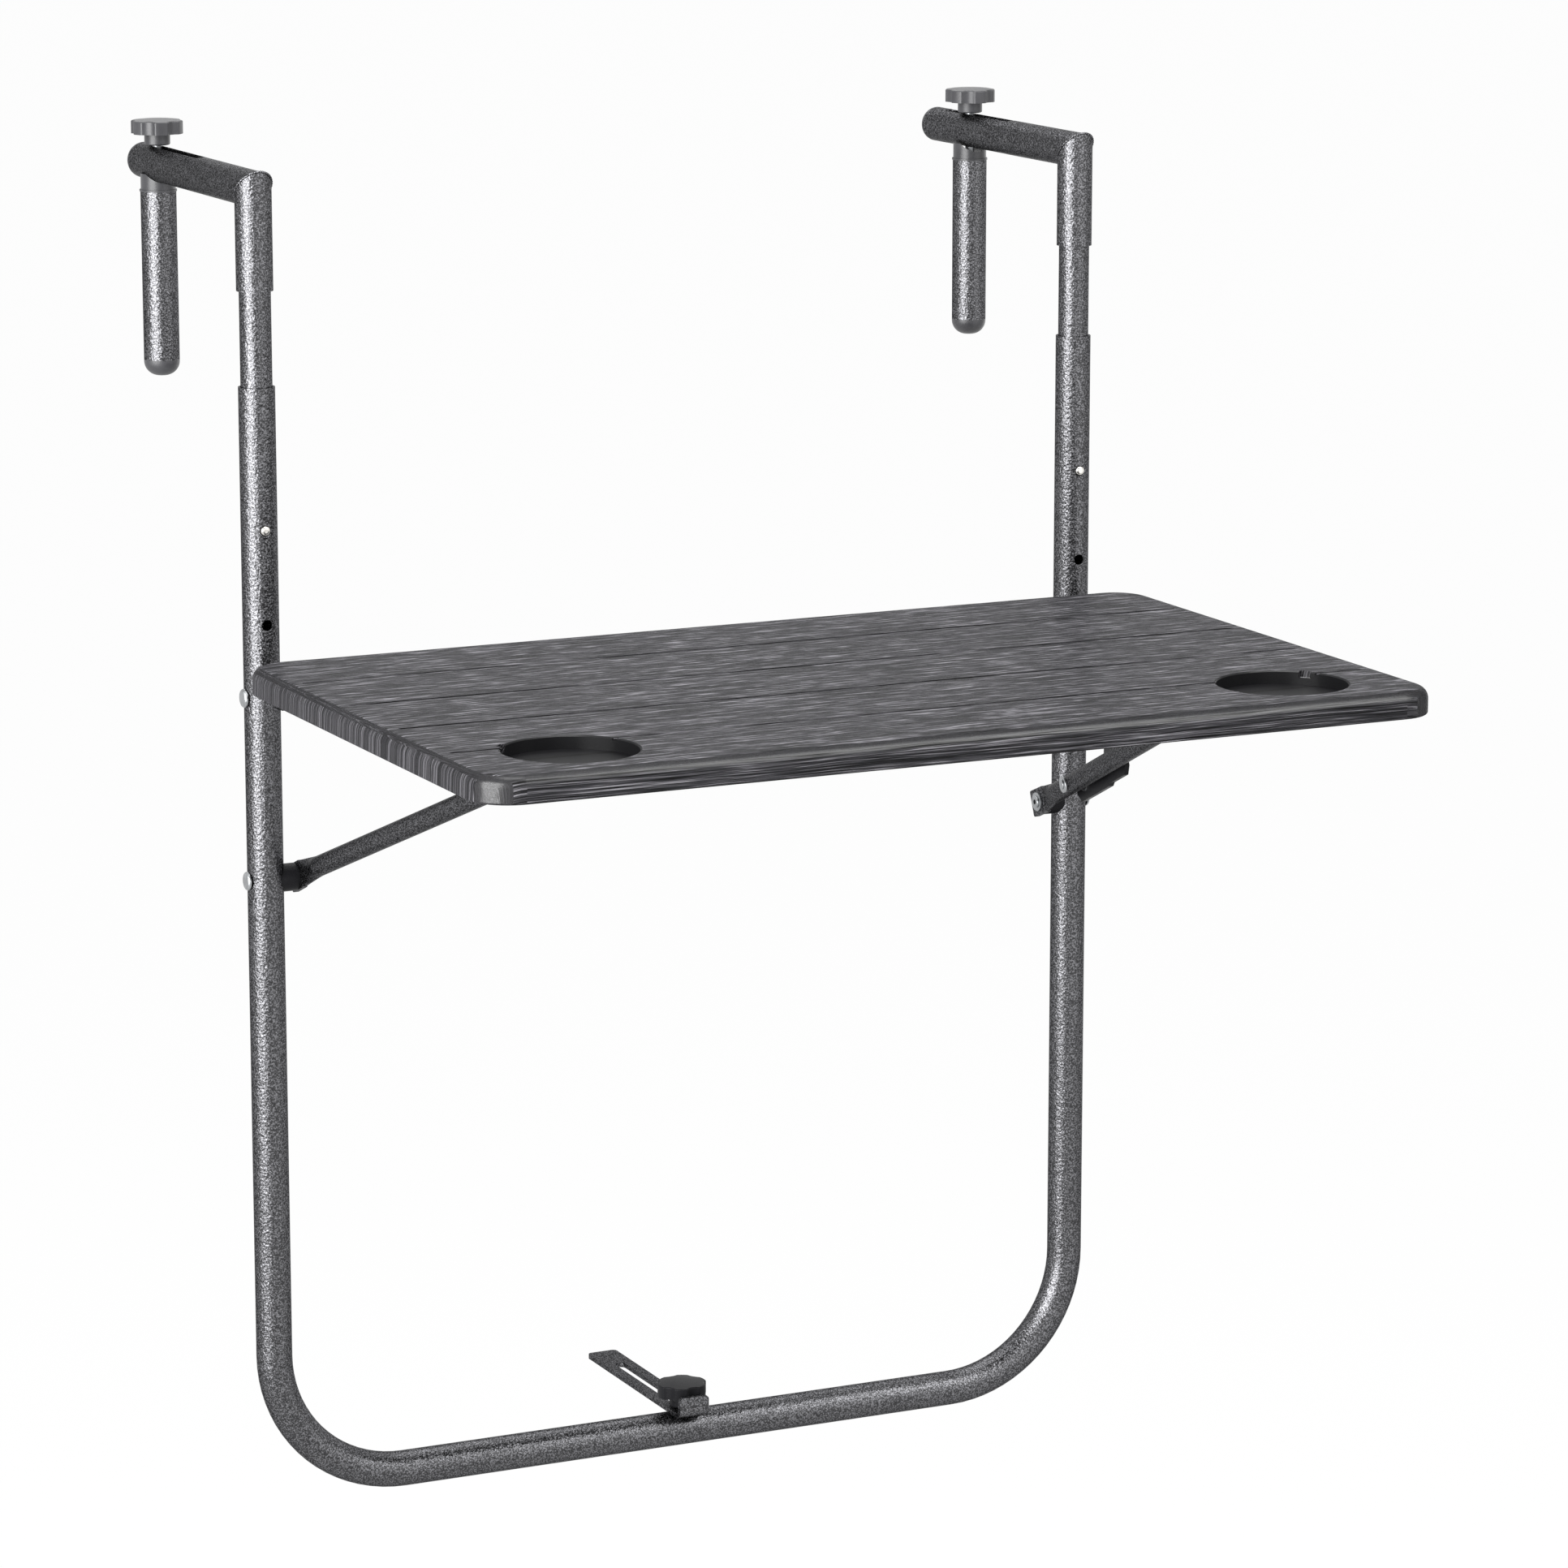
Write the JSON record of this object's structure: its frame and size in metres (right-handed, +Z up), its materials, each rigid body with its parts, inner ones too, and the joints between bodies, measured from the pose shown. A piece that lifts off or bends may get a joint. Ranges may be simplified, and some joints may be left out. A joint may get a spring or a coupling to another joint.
{
  "type": "folding balcony table",
  "caption": "Folding balcony table that hangs on a railing: planked board on a tubular frame with height-adjustable hook arms, clamp feet, folding brace and a distance strip below.",
  "frame": {"origin": "midway between the two hook arms, in the plane of the posts, at the underside of the arms where the table rests on the railing", "axes": "+X along the board to the right of the person at the table, -Y towards that person, +Y over the railing, +Z up"},
  "size_m": [0.6, 0.601, 0.8373],
  "materials": {
    "hammertone_paint": "hammered",
    "board_plastic": "wood grain",
    "dark_plastic": "satin",
    "black_plastic": "satin",
    "zinc_steel": "zinc plated",
    "nickel": "polished",
    "spring_steel": "satin"
  },
  "bodies": {
    "frame": {"u_frame": "hammertone_paint", "hinge_rivets": "zinc_steel", "hinge_spacers": "black_plastic", "hinge_washers": "zinc_steel", "brace_rivets": "zinc_steel", "brace_spacers": "black_plastic", "brace_washers": "zinc_steel", "strip_knob_nut": "zinc_steel"},
    "board": {"table_board": "board_plastic", "left_hinge_bracket": "hammertone_paint", "right_hinge_bracket": "hammertone_paint", "bracket_screws": "zinc_steel", "left_brace_rest": "dark_plastic", "right_brace_rest": "dark_plastic", "rest_screws": "zinc_steel"},
    "brace": {"brace": "hammertone_paint", "fold_stop": "black_plastic", "stop_rivet": "zinc_steel", "stop_washer": "zinc_steel"},
    "strip": {"distance_strip": "hammertone_paint"},
    "strip_knob": {"strip_knob": "dark_plastic", "strip_bolt": "zinc_steel"},
    "left_arm": {"left_arm_tube": "hammertone_paint", "left_arm_sleeve": "hammertone_paint", "left_arm_cap": "dark_plastic", "left_inner_tube": "hammertone_paint", "left_snap_spring": "spring_steel"},
    "left_button": {"left_snap_button": "nickel"},
    "left_clamp": {"left_clamp_saddle": "dark_plastic", "left_clamp_tube": "hammertone_paint", "left_clamp_cap": "dark_plastic", "left_clamp_bolt": "zinc_steel"},
    "left_knob": {"left_clamp_knob": "dark_plastic", "left_knob_nut": "zinc_steel"},
    "right_arm": {"right_arm_tube": "hammertone_paint", "right_arm_sleeve": "hammertone_paint", "right_arm_cap": "dark_plastic", "right_inner_tube": "hammertone_paint", "right_snap_spring": "spring_steel"},
    "right_button": {"right_snap_button": "nickel"},
    "right_clamp": {"right_clamp_saddle": "dark_plastic", "right_clamp_tube": "hammertone_paint", "right_clamp_cap": "dark_plastic", "right_clamp_bolt": "zinc_steel"},
    "right_knob": {"right_clamp_knob": "dark_plastic", "right_knob_nut": "zinc_steel"}
  },
  "joints": [
    {"name": "board_fold", "type": "hinge", "parent": "frame", "child": "board", "pos_m": [0, 0, -0.293], "axis": [1, 0, 0], "range_deg": [0, 90]},
    {"name": "brace_fold", "type": "hinge", "parent": "frame", "child": "brace", "pos_m": [0, 0, -0.405], "axis": [1, 0, 0], "range_deg": [0, 112.3]},
    {"name": "strip_slide", "type": "slide", "parent": "frame", "child": "strip", "axis": [0, 1, 0], "range_m": [-0.095, 0]},
    {"name": "strip_knob_turn", "type": "hinge", "parent": "frame", "child": "strip_knob", "pos_m": [0, 0, -0.773], "axis": [0, 0, 1], "range_deg": [0, 1080]},
    {"name": "left_arm_slide", "type": "slide", "parent": "frame", "child": "left_arm", "axis": [0, 0, 1], "range_m": [-0.057, 0], "deforming": ["left_snap_spring", "left_snap_button"]},
    {"name": "left_button_press", "type": "slide", "parent": "left_arm", "child": "left_button", "axis": [0, 1, 0], "range_m": [0, 0.0032], "stiffness_N_per_m": 1500, "springref_m": -0.001, "deforming": ["left_snap_spring"]},
    {"name": "left_clamp_slide", "type": "slide", "parent": "left_arm", "child": "left_clamp", "axis": [0, 1, 0], "range_m": [-0.079, 0.004]},
    {"name": "left_knob_turn", "type": "hinge", "parent": "left_clamp", "child": "left_knob", "pos_m": [-0.274, 0.1665, 0.022], "axis": [0, 0, 1], "range_deg": [0, 1080]},
    {"name": "right_arm_slide", "type": "slide", "parent": "frame", "child": "right_arm", "axis": [0, 0, 1], "range_m": [-0.057, 0], "deforming": ["right_snap_spring", "right_snap_button"]},
    {"name": "right_button_press", "type": "slide", "parent": "right_arm", "child": "right_button", "axis": [0, 1, 0], "range_m": [0, 0.0032], "stiffness_N_per_m": 1500, "springref_m": -0.001, "deforming": ["right_snap_spring"]},
    {"name": "right_clamp_slide", "type": "slide", "parent": "right_arm", "child": "right_clamp", "axis": [0, 1, 0], "range_m": [-0.0565, 0.0265]},
    {"name": "right_knob_turn", "type": "hinge", "parent": "right_clamp", "child": "right_knob", "pos_m": [0.274, 0.144, 0.022], "axis": [0, 0, 1], "range_deg": [0, 1080]}
  ],
  "couplings": [
    {"joint": "brace_fold", "follows": "board_fold", "ratio": 1.2467}
  ]
}
